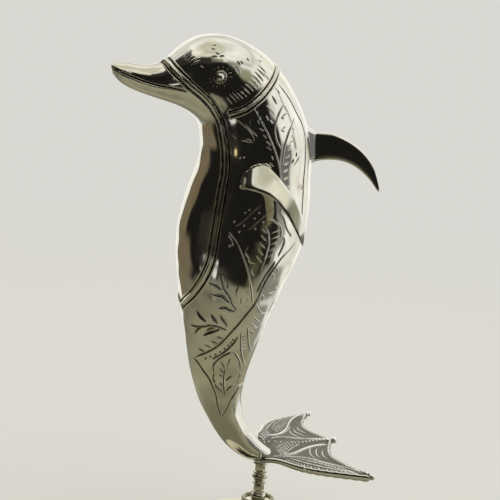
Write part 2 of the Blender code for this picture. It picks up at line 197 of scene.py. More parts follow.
# Half the width and the depth of each tool's strokes, and how close together their points stand
LINE_TOOL = (0.44 * MM, 0.44 * MM)
SHORT_TOOL = (0.42 * MM, 0.36 * MM)
HATCH_TOOL = (0.40 * MM, 0.32 * MM)
BROAD_TOOL = (0.74 * MM, 0.55 * MM)
SAMPLE_STEP = 0.22 * MM
# The crest of the lip that a tool raises beside its groove, in half widths from the groove's middle
LIP = 1.35

# The flat sheet that the body starts from, the rows where the finished skin is parted, and how it is
# divided: edges longer than the first size are halved within the second of a groove, in millimetres
SHEET_ROWS = 158
SHEET_COLUMNS = 108
PARTING_ROWS = (36, 66, 96)
DIVIDING = ((1.6, 3.0), (0.8, 1.6), (0.4, 0.9), (0.25, 0.3))


def ramp(value, start, end):
    """Returns how far each value lies from start to end, held between 0 and 1."""
    return np.clip((value - start) / (end - start), 0, 1)


def unit(vectors):
    """Returns the vectors at length one."""
    return vectors / np.maximum(np.linalg.norm(vectors, axis=-1, keepdims=True), 1e-12)


def curve(stations, points):
    """Returns the smooth curve through points at the stations, as a function of places. The points are one
    row for all places, or a row for each."""
    stations = np.asarray(stations, float)
    points = np.asarray(points, float)
    spans = np.diff(stations)
    slopes = np.diff(points, axis=-2) / spans[:, None]
    weights = (spans[:-1] + spans[1:])[:, None]
    inner = (slopes[..., :-1, :] * spans[1:, None] + slopes[..., 1:, :] * spans[:-1, None]) / weights
    tangents = np.concatenate([slopes[..., :1, :], inner, slopes[..., -1:, :]], axis=-2)

    def at(place):
        place = np.asarray(place, float)
        i = np.clip(np.searchsorted(stations, place, side="right") - 1, 0, len(spans) - 1)
        row = (np.arange(len(place)),) if points.ndim > 2 else ()
        low, high = (*row, i), (*row, i + 1)
        span = spans[i][..., None]
        t = (place[..., None] - stations[i][..., None]) / span
        start = points[low] * (2 * t ** 3 - 3 * t ** 2 + 1) + tangents[low] * span * (t ** 3 - 2 * t ** 2 + t)
        end = points[high] * (3 * t ** 2 - 2 * t ** 3) + tangents[high] * span * (t ** 3 - t ** 2)
        return start + end

    return at


def stations_of(points):
    """Returns each point's share of the way along the straight lines through points."""
    steps = np.linalg.norm(np.diff(np.asarray(points, float), axis=0), axis=1)
    way = np.concatenate([[0], np.cumsum(steps)])
    return way / way[-1]


def through(rows):
    """Returns the smooth curve through rows that start with two edges' x and z, by the way between them."""
    return curve(stations_of((rows[:, :2] + rows[:, 2:4]) / 2), rows)


def section_table(rows=2400, blend=26, tip=13):
    """Returns the body's sections at close even rows, blended so that no crease shows where two meet, and
    rounded off over the last rows at both ends."""
    table = through(np.array(SECTIONS) * SHARE)(np.linspace(0, 1, rows))
    weights = np.exp(-0.5 * (np.arange(-3 * blend, 3 * blend + 1) / blend) ** 2)
    weights /= weights.sum()
    padded = np.pad(table, ((3 * blend, 3 * blend), (0, 0)), mode="reflect", reflect_type="odd")
    smooth = np.stack([np.convolve(padded[:, k], weights, mode="valid") for k in range(5)], axis=1)
    past_tip = ramp(np.linspace(0, 1, rows)[:, None], 0.012, 0.082)
    table = table + (smooth - table) * past_tip ** 2 * (3 - 2 * past_tip)
    for ends in (np.arange(tip), rows - 1 - np.arange(tip)):
        size = (1 - (1 - np.arange(tip) / tip) ** 2.6) ** (1 / 2.6)
        centre = (table[ends][:, [0, 1]] + table[ends][:, [2, 3]]) / 2
        for a in (0, 2):
            table[ends, a:a + 2] = centre + (table[ends, a:a + 2] - centre) * size[:, None]
        table[ends, 4] *= size
    return table


ROWS = section_table()
ROW_SLOPES = np.gradient(ROWS, 1 / (len(ROWS) - 1), axis=0)


def skin(way, turn):
    """Returns the plain skin's points and its tangents along and around, for arrays of shares and degrees."""
    place = np.clip(way, 0, 1) * (len(ROWS) - 1)
    low = np.minimum(place.astype(int), len(ROWS) - 2)
    part = (place - low)[:, None]
    section, slope = (table[low] * (1 - part) + table[low + 1] * part for table in (ROWS, ROW_SLOPES))
    cos, sin = np.cos(np.radians(turn)), np.sin(np.radians(turn))
    ridge = ramp(way, BEAK_END, 0)
    bulk = np.maximum(np.abs(sin), 0.02)
    wide = np.sign(sin) * bulk ** (BEAK_RIDGE * ridge) * np.abs(sin)
    wide_around = (1 + BEAK_RIDGE * ridge) * bulk ** (BEAK_RIDGE * ridge) * cos
    wide_along = -wide * np.log(bulk) * BEAK_RIDGE / BEAK_END * (ridge > 0)

    def build(row, ahead, aside):
        x = (row[:, 0] + row[:, 2]) / 2 * ahead + (row[:, 0] - row[:, 2]) / 2 * aside[0]
        z = (row[:, 1] + row[:, 3]) / 2 * ahead + (row[:, 1] - row[:, 3]) / 2 * aside[0]
        return np.stack([x, -row[:, 4] * aside[1], z], axis=1)

    point = build(section, 1, (cos, wide)) + (0, 0, SEAT)
    along = build(slope, 1, (cos, wide))
    along[:, 1] -= section[:, 4] * wide_along
    around = build(section, 0, (-sin, wide_around)) * math.pi / 180
    return point, along, around


def skin_at(place, side):
    """Returns the plain skin's point and tangents at one place, in thousandths and degrees."""
    return [found[0] for found in skin(np.array([place[0] * MM]), np.array([side * place[1]], float))]


def wax(way, turn):
    """Returns how much dark wax a stroke holds: little where the cheek and the flank are rubbed."""
    rubbed = ramp(way, 0.24, 0.27) * ramp(way, 0.60, 0.58) * ramp(turn, 109, 104)
    cheek = ramp(way, 0.25, 0.24) * ramp(turn, 112, 104)
    return 0.95 - 0.8 * np.maximum(rubbed, cheek)


def close_marks(marks, spots, step):
    """Returns even shares of a line's way, a step apart on its surface, and the line's marks at them."""
    length = np.linalg.norm(np.diff(spots, axis=0), axis=1).sum()
    share = np.linspace(0, 1, max(3, math.ceil(length / step)))
    if len(marks) > 2:
        return share, curve(stations_of(spots), marks)(share)
    return share, marks[0] + np.outer(share, marks[1] - marks[0])


def fading(share, fade):
    """Returns how full a stroke is along its way, when it fades over the share fade at both ends."""
    return ramp(np.minimum(share, 1 - share), 0, fade) if fade else np.ones(len(share))


def between(first, last, count):
    """Returns even pairs of marks, each from the line first to the line last."""
    share = np.linspace(0, 1, count)
    rows = (np.reshape(row, (-1, 2)) for row in (first, last))
    return zip(*(curve(np.linspace(0, 1, len(row)), row)(share) for row in rows))


def stroke(line, side, tool=LINE_TOOL, shift=0.0, fade=0.4, widen=1.0, dark=None, burr=0.4):
    """Returns one chased stroke: close points on the skin, its course, half width and depth at each, how dark
    its bottom is and how high its lips stand. A depth below zero raises a rib. The stroke is moved across by
    shift, fades at its ends, and starts widen times as wide as it ends."""
    half, depth = tool
    marks = np.reshape(line, (-1, 2)) * (MM, side)
    share, track = close_marks(marks, skin(marks[:, 0], marks[:, 1])[0], SAMPLE_STEP)
    point, along, around = skin(track[:, 0], track[:, 1])
    course = unit(np.gradient(point, axis=0))
    if shift:
        point = point + np.cross(course, unit(np.cross(along, around))) * shift
    swell = 0.3 + 0.7 * np.sqrt(fading(share, fade))
    size = half * swell * (widen + (1 - widen) * share)
    if dark is not None:
        return point, course, size, depth * swell, np.full(len(share), dark), burr
    held = wax(track[:, 0], np.abs(track[:, 1]))
    return point, course, size * (0.55 + 0.45 * held), depth * swell * (0.4 + 0.6 * held), held, burr


def peck(spot, half, depth, dark=0.0, burr=0.0):
    """Returns one round mark in a stroke's form, from sizes in millimetres."""
    return spot[None], np.zeros((1, 3)), np.array([half * MM]), np.array([depth * MM]), np.array([dark]), burr


def pieces_of(strokes, most=36):
    """Cuts strokes into short overlapping pieces, so that few points are measured against each."""
    pieces = []
    for *rows, burr in strokes:
        for start in range(0, max(1, len(rows[0]) - 1), most):
            pieces.append([row[start:start + most + 1] for row in rows] + [burr])
    return pieces


def press(points, pieces):
    """Returns how high the chasing stands over each point, its slope there, and how dark its hollow is."""
    pit, ridge, hollow = (np.zeros(len(points)) for _ in range(3))
    pit_slope, ridge_slope = (np.zeros((len(points), 3)) for _ in range(2))
    for spots, courses, halves, depths, darks, burr in pieces:
        reach = halves.max() * 2.3
        near = np.flatnonzero(((points > spots.min(0) - reach) & (points < spots.max(0) + reach)).all(1))
        if not len(near):
            continue
        away = points[near, None] - spots[None]
        k = (away ** 2).sum(-1).argmin(1)
        away = away[np.arange(len(near)), k]
        course, half, depth = courses[k], halves[k], depths[k]
        slide = np.clip((away * course).sum(1), -SAMPLE_STEP / 2, SAMPLE_STEP / 2)
        away = away - course * slide[:, None]
        far = np.maximum(np.linalg.norm(away, axis=1), 1e-9)
        q = far / half
        bowl = np.clip(1 - q ** 2, 0, None)
        low, low_steep = depth * bowl ** 2, -4 * depth * q * bowl / half
        wide = np.maximum(0.32, 0.17 * MM / half)
        high = np.clip(depth, 0, None) * burr * np.exp(-((q - LIP) / wide) ** 2)
        high_steep = -high * 2 * (q - LIP) / wide ** 2 / half
        if depth[0] < 0:
            high, high_steep, low = -low, -low_steep, np.zeros(len(near))
        aside = away / far[:, None]
        for level, steep, most, slope in ((low, low_steep, pit, pit_slope),
                                          (high, high_steep, ridge, ridge_slope)):
            wins = level > most[near]
            most[near[wins]] = level[wins]
            slope[near[wins]] = (aside * steep[:, None])[wins]
        hollow[near] = np.maximum(hollow[near], bowl ** 1.5 * np.clip(depth / (0.3 * MM), 0, 1) * darks[k])
    return ridge - pit, ridge_slope - pit_slope, hollow


def beaten(points, seed=5, waves=26, depth=0.032 * MM):
    """Returns the slight unevenness of hand-finished sheet at each point, and its slope."""
    random = np.random.default_rng(seed)
    course = unit(random.normal(size=(waves, 3)))
    count = math.tau / (random.uniform(9, 26, waves) * MM)
    phase = random.uniform(0, math.tau, waves)
    swing = points @ (course * count[:, None]).T + phase
    return np.sin(swing).sum(1) * depth, np.cos(swing) @ (course * count[:, None]) * depth


def eye_marks(side):
    """Returns the ring round the eye, and the dashes that stand round it like rays."""
    _, along, around = skin_at(EYE, side)
    turns = [math.tau * k / EYE_RAYS for k in range(EYE_RAYS + 1)]
    across = [(math.cos(turn) / np.linalg.norm(along) * 1000, math.sin(turn) / np.linalg.norm(around))
              for turn in turns]

    def ring(radius):
        return [(EYE[0] + radius * x, EYE[1] + radius * y) for x, y in across]

    marks = [stroke(ring(EYE_RING), side, (0.5 * MM, 0.35 * MM), fade=0, dark=0.8)]
    for dash in list(zip(ring(5.0 * MM), ring(7.0 * MM)))[:-1]:
        marks.append(stroke(dash, side, (0.55 * MM, 0.12 * MM), dark=0, burr=0.1))
    return marks


def chasing():
    """Returns every stroke of both flanks."""
    strokes = []
    for side in (1, -1):
        for line, gap, half in BANDS:
            strokes.append(stroke(line, side, ((gap - 0.35) * MM, -1.0 * MM), fade=0))
            strokes += [stroke(line, side, (half * MM, 0.75 * MM), shift * MM, fade=0, dark=1, burr=0.3)
                        for shift in (-gap, gap)]
        strokes += [stroke(MOUTH, side, (0.60 * MM, 0.9 * MM), fade=0.02, widen=2.3, dark=1, burr=0.1),
                    stroke(MOUTH[4:], side, (0.6 * MM, -0.25 * MM), -1.5 * side * MM, fade=0.3)]
        strokes += [stroke(line, side, fade=0.06) for line in LONG_LINES]
        strokes += [stroke(line, side, fade=0.12) for line in LEAF_LINES]
        strokes += [stroke(line, side, SHORT_TOOL) for line in SHORT_STROKES]
        strokes += [stroke(line, side, BROAD_TOOL, dark=1) for line in SPRAY]
        strokes += [stroke(pair, side, HATCH_TOOL) for row in HATCHES for pair in between(*row)]
        strokes += [peck(skin_at(place, side)[0], 0.5, 0.3, dark=0.1, burr=0.2) for place in PECKS]
        strokes += eye_marks(side)
    return strokes


def close_up(bm):
    """Merges the seams and poles and turns the faces outwards."""
    bmesh.ops.remove_doubles(bm, verts=bm.verts, dist=SEAM)
    bmesh.ops.recalc_face_normals(bm, faces=bm.faces)


def new_piece(name, bm, material, node="dolphin", normals=None):
    """Makes a finished piece of the bmesh, which rides on the root body and stands for the named node. It is
    closed up first, unless it comes with its points' normals."""
    if normals is None:
        close_up(bm)
    mesh = bpy.data.meshes.new(name)
    bm.to_mesh(mesh)
    bm.free()
    mesh.materials.append(material)
    mesh.shade_smooth()
    if normals is not None:
        mesh.normals_split_custom_set_from_vertices(normals)
    thing = bpy.data.objects.new(name, mesh)
    bpy.context.scene.collection.objects.link(thing)
    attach(thing, "root")
    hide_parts(node)
    return thing


def sheet(bm, rows, columns, place):
    """Adds a grid and moves its points to place(along, around), both arrays of shares from 0 to 1."""
    verts = bmesh.ops.create_grid(bm, x_segments=columns, y_segments=rows, size=0.5)["verts"]
    shares = np.array([vert.co for vert in verts]) + 0.5
    for vert, point in zip(verts, place(shares[:, 1], shares[:, 0])):
        vert.co = point


def lay(flat):
    """Returns the share and the degrees of the skin where each point of the flat sheet is laid."""
    along = flat[:, 1] + 0.5
    return along * (0.88 + 0.12 * along), (flat[:, 0] + 0.5) * 360


def chased_skin(ways, turns, pieces):
    """Returns the finished skin's points and normals, and how deep in a groove each lies."""
    point, along, around = skin(ways, turns)
    normal = unit(np.cross(along, around))
    height, slope, hollow = press(point, pieces)
    swell, swell_slope = beaten(point)
    rise = slope + swell_slope
    shade = unit(normal - (rise - normal * (rise * normal).sum(1, keepdims=True)))
    return point + normal * (height + swell)[:, None], shade, hollow


def divide(bm, strokes):
    """Divides the flat sheet finely where it will lie near a stroke, and more coarsely on the far flank."""
    marks = np.concatenate([points for points, *_ in strokes])
    halves = np.minimum(np.concatenate([half for _, _, half, *_ in strokes]), 1.2 * MM)
    tree = KDTree(len(marks))
    for k, mark in enumerate(marks):
        tree.insert(mark, k)
    tree.balance()
    for limit, reach in DIVIDING:
        edges = list(bm.edges)
        ends = np.array([[vert.co for vert in edge.verts] for edge in edges]).reshape(-1, 3)
        spots = skin(*lay(ends))[0].reshape(-1, 2, 3)
        middles = spots.mean(1)
        ease = np.where(middles[:, 1] > 0, 1.45 if limit > 0.3 else 10, 1.0)
        long = np.flatnonzero(np.linalg.norm(spots[:, 0] - spots[:, 1], axis=1) > limit * ease * MM)
        found = [tree.find(middles[k])[1:] for k in long]
        chosen = [edges[k] for k, (mark, far) in zip(long, found) if far < reach * MM + 1.5 * halves[mark]]
        bmesh.ops.subdivide_edges(bm, edges=chosen, cuts=1, use_grid_fill=True)


def body(material):
    """Builds the chased body: a flat sheet, divided finely near the strokes, is laid on the skin, and then
    parted in four at three rings, each part closed inside."""
    strokes = chasing()
    bm = bmesh.new()
    bmesh.ops.create_grid(bm, x_segments=SHEET_COLUMNS, y_segments=SHEET_ROWS, size=0.5)
    divide(bm, strokes)
    way, hollow = (bm.verts.layers.float.new(name) for name in ("way", "hollow"))
    shade = bm.verts.layers.float_vector.new("shade")
    ways, turns = lay(np.array([vert.co for vert in bm.verts]))
    finished = chased_skin(ways, turns, pieces_of(strokes))
    for vert, place, spot, normal, depth in zip(bm.verts, ways, *finished):
        vert.co, vert[way], vert[shade], vert[hollow] = spot, place, normal, depth
    close_up(bm)
    cuts = [0, *lay(np.array([(0, row / SHEET_ROWS - 0.5) for row in PARTING_ROWS]))[0], 1]
    parts = []
    for name, start, end in zip(("head", "shoulders", "waist", "tail"), cuts, cuts[1:]):
        part = bm.copy()
        way, shade = part.verts.layers.float["way"], part.verts.layers.float_vector["shade"]
        outside = [face for face in part.faces
                   if not start < sum(vert[way] for vert in face.verts) / len(face.verts) < end]
        bmesh.ops.delete(part, geom=outside, context="FACES")
        part.normal_update()
        # The beak's tip and the tail's end, where many edges meet, keep their own normals
        normals = [tuple(vert.normal if len(vert.link_edges) > 40 else vert[shade]) for vert in part.verts]
        bmesh.ops.holes_fill(part, edges=[edge for edge in part.edges if edge.is_boundary], sides=0)
        part.verts.layers.float_vector.remove(shade)
        part.verts.layers.float.remove(part.verts.layers.float["way"])
        parts.append(new_piece("chased_" + name, part, material, normals=normals))
    bm.free()
    return parts


def blade(edges, thickness, matrix, flare=0.0, lean=0.0, sink=0.0):
    """Returns a fin's skin between two edges: flat with rounded edges, flared at the root, thin at the tip.
    Lean turns its outer face upwards, more towards the tip, and sink sets its root deeper into the body."""
    section = through(np.array(edges) * SHARE)
    matrix = np.array(matrix)

    def place(along, around):
        row = section(along)
        half = (thickness + (FIN_EDGE_THICKNESS - thickness) * along) / 2
        tip = np.sqrt(ramp(along, 1, 0.97))
        root = flare * np.exp(-(np.clip(along - 0.08, 0, None) / 0.06) ** 2)
        chord = (row[:, :2] - row[:, 2:]) / 2
        width = np.linalg.norm(chord, axis=1)
        x, y = np.cos(math.tau * around), np.sin(math.tau * around)
        flat = 0.8 * np.sqrt(np.clip(1 - x ** 12, 0, 1)) + 0.2 * np.abs(y)
        bulge = np.sign(y) * flat * (half * tip + root)
        past_root = ramp(along, 0.12, 0.36)
        turn = lean * (0.6 + 0.4 * past_root ** 2 * (3 - 2 * past_root) + 0.4 * along ** 2)
        reach = (width / np.cos(turn) ** 0.6 + root) * x * (0.35 + 0.65 * tip)
        up = reach * np.cos(turn) + bulge * np.sin(turn)
        out = bulge * np.cos(turn) - reach * np.sin(turn)
        out = out - math.copysign(sink, lean) * ramp(along, 0.31, 0) ** 2
        middle = (row[:, :2] + row[:, 2:]) / 2 + chord / width[:, None] * up[:, None]
        return (np.column_stack([middle, out, np.ones(len(along))]) @ matrix.T)[:, :3]

    return place


def fin_places():
    """Returns the skins of the back fin and of the two side fins."""
    upright = Matrix.Translation((0, 0, SEAT)) @ Matrix.Rotation(math.radians(90), 4, "X")
    places = [blade(BACK_FIN, BACK_FIN_THICKNESS, upright, BACK_FIN_FLARE)]
    x, y, z = (value * SHARE for value in SIDE_FIN_ROOT)
    for side in (-1, 1):
        out = Vector((math.sin(SIDE_FIN_SWEEP), side * math.cos(SIDE_FIN_SWEEP), 0))
        up = Vector((0, 0, 1))
        matrix = Matrix((out, up, out.cross(up))).transposed().to_4x4()
        matrix.translation = (x, side * y, z + SEAT)
        lean = -SIDE_FIN_LEAN * side
        places.append(blade(SIDE_FIN, SIDE_FIN_THICKNESS, matrix, lean=lean, sink=SIDE_FIN_SINK))
    return places


def fin(name, place, material):
    """Builds one fin as a closed blade."""
    bm = bmesh.new()
    sheet(bm, 90, 72, place)
    bmesh.ops.remove_doubles(bm, verts=bm.verts, dist=SEAM)
    bmesh.ops.holes_fill(bm, edges=[edge for edge in bm.edges if edge.is_boundary], sides=0)
    return new_piece(name, bm, material)


def rope(bm, points, lifts, radii, sides=12, closed=False, tall=1.0, square=1.0):
    """Adds a bar along points, with its half width at each; lifts point away from what it lies on. It is tall
    times as high as wide, and squarer the further square lies below one."""
    points, lifts, radii = np.asarray(points), unit(np.asarray(lifts)), np.asarray(radii)
    if closed:
        course = unit(np.roll(points, -1, 0) - np.roll(points, 1, 0))
    else:
        course = unit(np.gradient(points, axis=0))
    aside = unit(np.cross(course, lifts))
    lifts = np.cross(aside, course)
    rows = len(points) if closed else len(points) - 1

    def place(along, around):
        i = np.round(along * rows).astype(int) % len(points)
        power = np.broadcast_to(square, len(points))[i]
        turn = math.tau * around
        x, y = (np.sign(v) * np.abs(v) ** power for v in (np.cos(turn), np.sin(turn)))
        high = (np.broadcast_to(tall, len(points)) * radii)[i]
        return points[i] + aside[i] * (x * radii[i])[:, None] + lifts[i] * (y * high)[:, None]

    sheet(bm, rows, sides, place)


def weld(name, place, skin_tree, material, radius, seed):
    """Builds the lumpy bead of brazing where a fin's skin meets the body."""
    random = np.random.default_rng(seed)
    count = 120
    points, normals = [], []
    shares = np.linspace(0.85, 0, 86)
    for k in range(count):
        line = [Vector(spot) for spot in place(shares, np.full(len(shares), k / count))]
        for start, end in zip(line, line[1:]):
            step = end - start
            hit = skin_tree.ray_cast(start, step.normalized(), step.length)
            if hit[0] is not None:
                points.append(hit[0])
                normals.append(hit[1])
                break
    turn = np.arange(len(points)) / len(points) * math.tau
    waves = ((3, 0.2), (7, 0.2), (13, 0.2), (23, 0.16))
    lumps = sum(np.sin(turn * n + random.uniform(0, 6.3)) * a for n, a in waves)
    bm = bmesh.new()
    rope(bm, points, normals, radius * (1 + lumps), closed=True)
    return new_piece(name, bm, material)


def eyes(material):
    """Builds the two round beads of the eyes, half sunk in the head."""
    bm = bmesh.new()
    for side in (-1, 1):
        point, along, around = skin_at(EYE, side)
        normal = Vector(unit(np.cross(along, around)))
        turn = normal.to_track_quat("Z", "Y").to_matrix().to_4x4()
        place = Matrix.Translation(Vector(point) + normal * 0.3 * MM) @ turn
        bmesh.ops.create_uvsphere(bm, u_segments=32, v_segments=20, radius=EYE_RADIUS, matrix=place)
    return new_piece("eyes", bm, material)


def fan_sheet(across, along):
    """Returns the fan's middle layer, across from edge to edge (-1 to 1) and along from root to tips."""
    lines = [curve(FAN_STATIONS, np.array(ray[1:]) * SHARE)(along) for ray in FAN_RAYS]
    point = curve([ray[0] for ray in FAN_RAYS], np.stack(lines, axis=1))(np.abs(across))
    point[:, 1] = -np.sign(across) * point[:, 1]
    shoulder = np.clip(-across, 0, 1) ** 3 * np.exp(-((along - 0.27) / 0.14) ** 2)
    point += np.outer(shoulder, FAR_SHOULDER)
    cos, sin = math.cos(FAN_ROLL), math.sin(FAN_ROLL)
    y, z = point[:, 1].copy(), point[:, 2].copy()
    point[:, 1] = y * cos - z * sin
    point[:, 2] = y * sin + z * cos + SEAT
    return point


def fan_spot(across, along):
    """Returns one point of the fan's middle layer."""
    return fan_sheet(np.array([across], float), np.array([along], float))[0]


def fan_line(line, half, rise, shift=0.0, fade=0.1):
    """Returns one raised rib of the fan in a stroke's form, moved sideways by shift. Its line runs through
    pairs of across and along, and its sizes are in millimetres."""
    marks = np.array(line, float)
    share, track = close_marks(marks, fan_sheet(marks[:, 0], marks[:, 1]), 2 * SAMPLE_STEP)
    point = fan_sheet(track[:, 0], track[:, 1])
    course = unit(np.gradient(point, axis=0))
    point = point + np.cross(course, (0, 0, 1)) * shift * MM
    swell = 0.4 + 0.6 * fading(share, fade)
    return point, course, half * MM * swell, -rise * MM * swell, np.zeros(len(share)), 0


def beaded(line, spacing, half, rise):
    """Returns a row of round grains along a line of the fan, with sizes in millimetres."""
    point = fan_line(line, half, rise)[0]
    way = np.concatenate([[0], np.cumsum(np.linalg.norm(np.diff(point, axis=0), axis=1))])
    stops = np.arange(0.5 * spacing * MM, way[-1], spacing * MM)
    spots = np.stack([np.interp(stops, way, point[:, k]) for k in range(3)], axis=1)
    return [peck(spot, half, -rise) for spot in spots]


def rungs(first, last, count, half=0.36):
    """Returns short ribs from points along the line first to points along the line last."""
    return [fan_line(pair, half, 0.45, fade=0.3) for pair in between(first, last, count)]


# The fan's lines, as shares across (0 in the middle, 1 at the outer edge) and along
NEAR_RIB = ((0.50, 0.25), (0.34, 0.42), (0.24, 0.58), (0.20, 0.75), (0.24, 0.94))
FAR_RIB = ((0.50, 0.34), (0.42, 0.43), (0.25, 0.58), (0.07, 0.74), (0.03, 0.94))
TOE_RIB = ((0.70, 0.34), (0.60, 0.46), (0.63, 0.60), (0.76, 0.76), (0.90, 0.94))
LADDER = (((0.04, 0.24), (-0.02, 0.36), (-0.04, 0.54)), ((0.30, 0.28), (0.16, 0.40), (0.07, 0.56)))
ROOT_GRAINS = ((-0.56, 0.21), (-0.40, 0.26), (-0.22, 0.32), (-0.12, 0.37))
WEB_STROKES = (((0.56, 0.70), (0.20, 0.72)), ((0.53, 0.78), (0.27, 0.81)), ((0.52, 0.86), (0.34, 0.89)))


def fan_relief():
    """Returns the fan's cast relief: the toes' ribs, and hatching and grains beside them and on the webs."""
    lines = []
    for side, rib in ((1, NEAR_RIB), (-1, FAR_RIB)):
        def on_side(*marks):
            return [(side * a, b) for a, b in marks]

        middle, toe = on_side(*rib), on_side(*TOE_RIB)
        lines += [fan_line(middle, 0.95, 1.0), fan_line(middle, 0.4, 0.4, 1.7 * side)]
        lines += [fan_line(toe, 0.80, 0.9), fan_line(toe[1:], 0.45, 0.5, -1.6 * side)]
        lines += [fan_line(on_side((0.90, 0.42), (0.92, 0.66), (0.95, 0.92)), 0.55, 0.6),
                  fan_line(on_side((0.84, 0.52), (0.87, 0.70), (0.93, 0.92)), 0.40, 0.5)]
        lines += rungs(on_side((0.66, 0.50), (0.70, 0.66), (0.86, 0.84)),
                       on_side((0.84, 0.48), (0.88, 0.68), (0.93, 0.88)), 17)
        lines += rungs(on_side((0.93, 0.40), (0.96, 0.90)), on_side((0.985, 0.42), (0.99, 0.93)), 20, 0.4)
        web = on_side(*((a, 0.975) for a in (0.10, 0.25, 0.45, 0.65, 0.92)))
        lines += [fan_line(web, 0.5, 0.3)] + beaded(web, 2.9, 1.1, 1.2)
        for start, end in WEB_STROKES:
            bend = ((start[0] + end[0]) / 2, (start[1] + end[1]) / 2 - 0.005)
            lines.append(fan_line(on_side(start, bend, end), 0.45, 0.5, fade=0.3))
        lines += rungs(on_side((0.95, 0.22), (0.90, 0.38)), on_side((0.62, 0.24), (0.66, 0.36)), 5, 0.5)
        lines += [peck(fan_spot(side * a, b), 0.8, -0.7) for a, b in ROOT_GRAINS]
    lines += [fan_line(line, 0.4, 0.5) for line in LADDER] + rungs(*LADDER, 10)
    lines += beaded([(0.03, 0.58), (0.02, 0.74), (0, 0.90)], 2.6, 0.85, 0.7)
    return lines


def fan_web(material):
    """Builds the cast sheet of the tail fan, with its relief on top."""
    bm = bmesh.new()
    hollow = bm.verts.layers.float.new("hollow")
    sheet(bm, 170, 250, lambda along, around: fan_sheet(around * 2 - 1, along) - (0, 0, FAN_THICKNESS / 2))
    bottom = bm.faces[:]
    for face in bottom:
        if face.normal.z > 0:
            face.normal_flip()
    top = bmesh.ops.extrude_face_region(bm, geom=bottom, use_keep_orig=True)["geom"]
    raised = [part for part in top if isinstance(part, bmesh.types.BMVert)]
    spots = np.array([vert.co for vert in raised]) + (0, 0, FAN_THICKNESS / 2)
    height, _, _ = press(spots, pieces_of(fan_relief()))
    for vert, rise in zip(raised, height):
        vert.co.z += FAN_THICKNESS + rise
        vert[hollow] = max(0.0, 1 - rise / (0.3 * MM))
    return new_piece("tail_fan", bm, material)


def fan_edges(material, count=140):
    """Builds the bars of the fan's outer edges: round at the root, squarer and knuckled towards the tips."""
    bm = bmesh.new()
    way = np.linspace(0, 1, count)
    ease = np.sqrt(fading(way, 0.02))
    knuckle = 1 + 0.16 * ramp(way, 0.5, 0.6) * np.sin(way * 60) ** 2
    for side in (1, -1):
        line = fan_sheet(np.full(count, side * 0.995), way * 0.99 + 0.005) - np.outer(way, (0, 0, 0.7 * MM))
        rope(bm, line, np.tile((0, 0, 1), (count, 1)), (1.5 - 0.4 * way) * MM * ease * knuckle, 16,
             tall=1.0 + 0.75 * way, square=np.interp(way, (0.3, 0.5), (1.0, 0.55)))
    return new_piece("fan_edges", bm, material)


def fan_knobs(material):
    """Builds the round knobs at the toes' tips and along the outer edges."""
    bm = bmesh.new()
    for across, along, radius in FAN_KNOBS:
        for side in ((1, -1) if across else (1,)):
            place = Matrix.Translation(fan_spot(across * side, along) + (0, 0, 0.5 * MM))
            bmesh.ops.create_uvsphere(bm, u_segments=24, v_segments=16, radius=radius * MM, matrix=place)
    return new_piece("fan_knobs", bm, material)


def spun(profile, steps):
    """Spins a profile of radius and height, in millimetres from the bottom up, into a bmesh."""
    bm = bmesh.new()
    verts = [bm.verts.new((radius * MM, 0, height * MM)) for radius, height in profile]
    edges = [bm.edges.new(pair) for pair in zip(verts, verts[1:])]
    bmesh.ops.spin(bm, geom=verts + edges, axis=(0, 0, 1), cent=(0, 0, 0), angle=math.tau, steps=steps,
                   use_merge=True)
    return bm


def swelling(foot, length, radius, points=12, power=0.62):
    """Returns the profile of one round form of the stem, over the neck."""
    shares = [k / points for k in range(1, points)]
    return [(NECK_RADIUS + (radius - NECK_RADIUS) * math.sin(math.pi * share) ** power, foot + length * share)
            for share in shares]


def stem(material):
    """Builds the turned stem between the base and the tail, and the boss on top."""
    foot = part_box("stem")[0].z / MM
    profile = [(0, foot), (4.2, foot), (4.8, foot + 0.1)]
    for form in TURNING:
        length, radius = FORMS[form]
        if form == "neck":
            profile += [(radius - 0.25 * math.sin(math.pi * k / 8), foot + length * k / 8)
                        for k in range(1, 8)]
        elif form != "gap":
            profile += swelling(foot, length, radius)
        foot += length
        profile.append((NECK_RADIUS, foot))
    profile.append((0, foot))
    new_piece("turned_stem", spun(profile, 64), material, "stem")
    seat = foot + 0.3
    boss = ((0, 0), (4.4, 0), (4.8, 0.2), (4.9, 0.8), (4.6, 1.5), (3.8, 2.0), (3.5, 3.0), (0, 3.0))
    boss = [(radius, seat + height) for radius, height in boss]
    return new_piece("seat_boss", spun(boss, 64), material)


def base(material):
    """Builds the low turned base: a foot, a hollow curve up to the crown, and a collar of beads."""
    edge, rim, crown, shoulder, top = 4, 50.0, 11.2, 18.0, 24.0
    profile = [(0, 0), (50.5, 0), (51.6, 0.4), (52.0, 1.2), (52.0, 2.8), (51.6, 3.6), (50.6, edge)]
    for k in range(25):
        turn = math.pi / 2 * k / 24
        profile.append((crown + (rim - crown) * (1 - math.sin(turn)),
                        edge + (shoulder - edge) * (1 - math.cos(turn))))
    profile += [(crown, 19.0), (10.6, 19.3), (10.6, 20.0), (crown, 20.4), (crown, top - 0.6), (10.8, top),
                (0, top)]
    bm = spun(profile, 160)
    for k in range(COLLAR_BEADS):
        turn = Matrix.Rotation(math.tau * k / COLLAR_BEADS, 4, "Z")
        place = turn @ Matrix.Translation((9.8 * MM, 0, top * MM))
        bmesh.ops.create_uvsphere(bm, u_segments=20, v_segments=14, radius=1.4 * MM, matrix=place)
    return new_piece("turned_base", bm, material, "base")


def linear(code):
    """Turns an sRGB hex colour into linear colour."""
    values = [int(code[k:k + 2], 16) / 255 for k in (0, 2, 4)]
    return (*(v / 12.92 if v <= 0.04045 else ((v + 0.055) / 1.055) ** 2.4 for v in values), 1)


